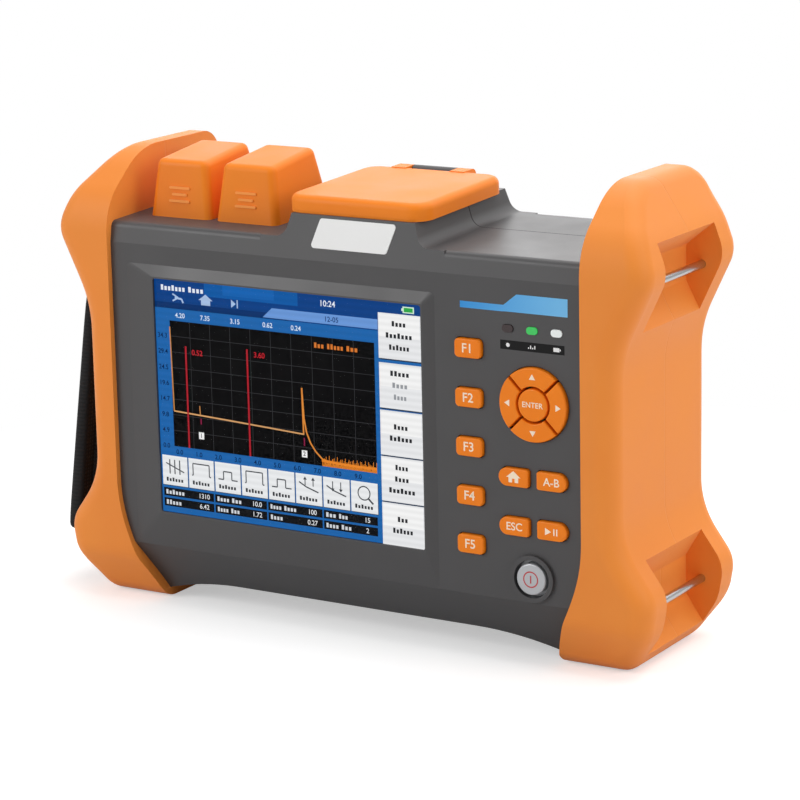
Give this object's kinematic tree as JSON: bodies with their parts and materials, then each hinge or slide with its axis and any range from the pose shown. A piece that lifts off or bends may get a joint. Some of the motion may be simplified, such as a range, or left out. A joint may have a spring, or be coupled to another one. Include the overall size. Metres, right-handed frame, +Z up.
{
  "type": "optical time domain reflectometer",
  "caption": "Hand-held fibre tester with a bezelled display, a key field, capped optical ports, a flip-covered interface bay, rubber end bumpers, a hand strap and a tilt stand.",
  "frame": {"origin": "on the table, below the middle of the casing", "axes": "+X to the right of the display, +Y from the display to the back, +Z up"},
  "size_m": [0.2564, 0.0736, 0.168],
  "materials": {
    "casing": "fine texture",
    "seal": "matte",
    "plate": "satin",
    "window": "clear",
    "display": "satin",
    "bracket": "satin",
    "steel": "satin",
    "board": "satin",
    "module": "satin",
    "laser": "satin",
    "port": "nickel plated",
    "pin": "satin",
    "bar": "polished",
    "socket": "satin",
    "supply": "matte",
    "tray": "matte",
    "bumper": "matte",
    "cap": "matte",
    "cover": "matte",
    "webbing": "woven",
    "pad": "woven",
    "battery": "satin",
    "door": "fine texture",
    "stand": "satin",
    "key": "matte",
    "power": "satin",
    "lens_green": "glossy",
    "lens_clear": "glossy",
    "lens_dark": "glossy"
  },
  "bodies": {
    "tester": {"front_case": "casing", "rear_case": "casing", "case_seal": "seal", "tower_plate": "plate", "display_window": "window", "display_panel": "display", "display_bracket": "bracket", "bracket_screws": "steel", "keypad_board": "board", "keypad_screws": "steel", "main_board": "board", "optical_module": "module", "case_screws": "steel", "otdr_port": "port", "vfl_port": "port", "port_screws": "steel", "laser_module": "laser", "cap_pins": "pin", "cover_pin": "pin", "usb_sockets": "socket", "usb_device_socket": "socket", "network_socket": "socket", "supply_socket": "supply", "bay_tray": "tray", "interface_board": "board", "tray_screws": "steel", "left_bumper": "bumper", "right_bumper": "bumper", "left_lower_bar": "bar", "left_upper_bar": "bar", "right_lower_bar": "bar", "right_upper_bar": "bar", "strap_webbing": "webbing", "strap_pad": "pad", "battery_pack": "battery", "battery_door": "door", "door_screws": "steel", "stand_pins": "pin", "alarm_lens": "lens_dark", "status_lens": "lens_green", "charge_lens": "lens_clear"},
    "otdr_cap": {"otdr_cap": "cap"},
    "vfl_cap": {"vfl_cap": "cap"},
    "flip_cover": {"flip_cover": "cover"},
    "tilt_stand": {"tilt_stand": "stand"},
    "f1_key": {"f1_key": "key"},
    "f2_key": {"f2_key": "key"},
    "f3_key": {"f3_key": "key"},
    "f4_key": {"f4_key": "key"},
    "f5_key": {"f5_key": "key"},
    "up_key": {"up_key": "key"},
    "down_key": {"down_key": "key"},
    "left_key": {"left_key": "key"},
    "right_key": {"right_key": "key"},
    "enter_key": {"enter_key": "key"},
    "home_key": {"home_key": "key"},
    "marker_key": {"marker_key": "key"},
    "escape_key": {"escape_key": "key"},
    "run_key": {"run_key": "key"},
    "power_key": {"power_key": "power"}
  },
  "joints": [
    {"name": "otdr_cap_hinge", "type": "hinge", "parent": "tester", "child": "otdr_cap", "pos_m": [-0.076, 0.01949, 0.14805], "axis": [-1, 0, 0], "range_deg": [0, 100]},
    {"name": "vfl_cap_hinge", "type": "hinge", "parent": "tester", "child": "vfl_cap", "pos_m": [-0.047, 0.01949, 0.14805], "axis": [-1, 0, 0], "range_deg": [0, 100]},
    {"name": "flip_cover_hinge", "type": "hinge", "parent": "tester", "child": "flip_cover", "pos_m": [0.0032, 0.02991, 0.15806], "axis": [-1, 0, 0], "range_deg": [0, 100]},
    {"name": "tilt_stand_hinge", "type": "hinge", "parent": "tester", "child": "tilt_stand", "pos_m": [0, 0.0328, 0.108], "axis": [1, 0, 0], "range_deg": [0, 35]},
    {"name": "f1_key_press", "type": "slide", "parent": "tester", "child": "f1_key", "axis": [0, 1, 0], "range_m": [0, 0.0008], "stiffness_N_per_m": 500, "springref_m": -0.0003},
    {"name": "f2_key_press", "type": "slide", "parent": "tester", "child": "f2_key", "axis": [0, 1, 0], "range_m": [0, 0.0008], "stiffness_N_per_m": 500, "springref_m": -0.0003},
    {"name": "f3_key_press", "type": "slide", "parent": "tester", "child": "f3_key", "axis": [0, 1, 0], "range_m": [0, 0.0008], "stiffness_N_per_m": 500, "springref_m": -0.0003},
    {"name": "f4_key_press", "type": "slide", "parent": "tester", "child": "f4_key", "axis": [0, 1, 0], "range_m": [0, 0.0008], "stiffness_N_per_m": 500, "springref_m": -0.0003},
    {"name": "f5_key_press", "type": "slide", "parent": "tester", "child": "f5_key", "axis": [0, 1, 0], "range_m": [0, 0.0008], "stiffness_N_per_m": 500, "springref_m": -0.0003},
    {"name": "up_key_press", "type": "slide", "parent": "tester", "child": "up_key", "axis": [0, 1, 0], "range_m": [0, 0.0008], "stiffness_N_per_m": 500, "springref_m": -0.0003},
    {"name": "down_key_press", "type": "slide", "parent": "tester", "child": "down_key", "axis": [0, 1, 0], "range_m": [0, 0.0008], "stiffness_N_per_m": 500, "springref_m": -0.0003},
    {"name": "left_key_press", "type": "slide", "parent": "tester", "child": "left_key", "axis": [0, 1, 0], "range_m": [0, 0.0008], "stiffness_N_per_m": 500, "springref_m": -0.0003},
    {"name": "right_key_press", "type": "slide", "parent": "tester", "child": "right_key", "axis": [0, 1, 0], "range_m": [0, 0.0008], "stiffness_N_per_m": 500, "springref_m": -0.0003},
    {"name": "enter_key_press", "type": "slide", "parent": "tester", "child": "enter_key", "axis": [0, 1, 0], "range_m": [0, 0.0008], "stiffness_N_per_m": 500, "springref_m": -0.0003},
    {"name": "home_key_press", "type": "slide", "parent": "tester", "child": "home_key", "axis": [0, 1, 0], "range_m": [0, 0.0008], "stiffness_N_per_m": 500, "springref_m": -0.0003},
    {"name": "marker_key_press", "type": "slide", "parent": "tester", "child": "marker_key", "axis": [0, 1, 0], "range_m": [0, 0.0008], "stiffness_N_per_m": 500, "springref_m": -0.0003},
    {"name": "escape_key_press", "type": "slide", "parent": "tester", "child": "escape_key", "axis": [0, 1, 0], "range_m": [0, 0.0008], "stiffness_N_per_m": 500, "springref_m": -0.0003},
    {"name": "run_key_press", "type": "slide", "parent": "tester", "child": "run_key", "axis": [0, 1, 0], "range_m": [0, 0.0008], "stiffness_N_per_m": 500, "springref_m": -0.0003},
    {"name": "power_key_press", "type": "slide", "parent": "tester", "child": "power_key", "axis": [0, 1, 0], "range_m": [0, 0.0008], "stiffness_N_per_m": 500, "springref_m": -0.0003}
  ]
}
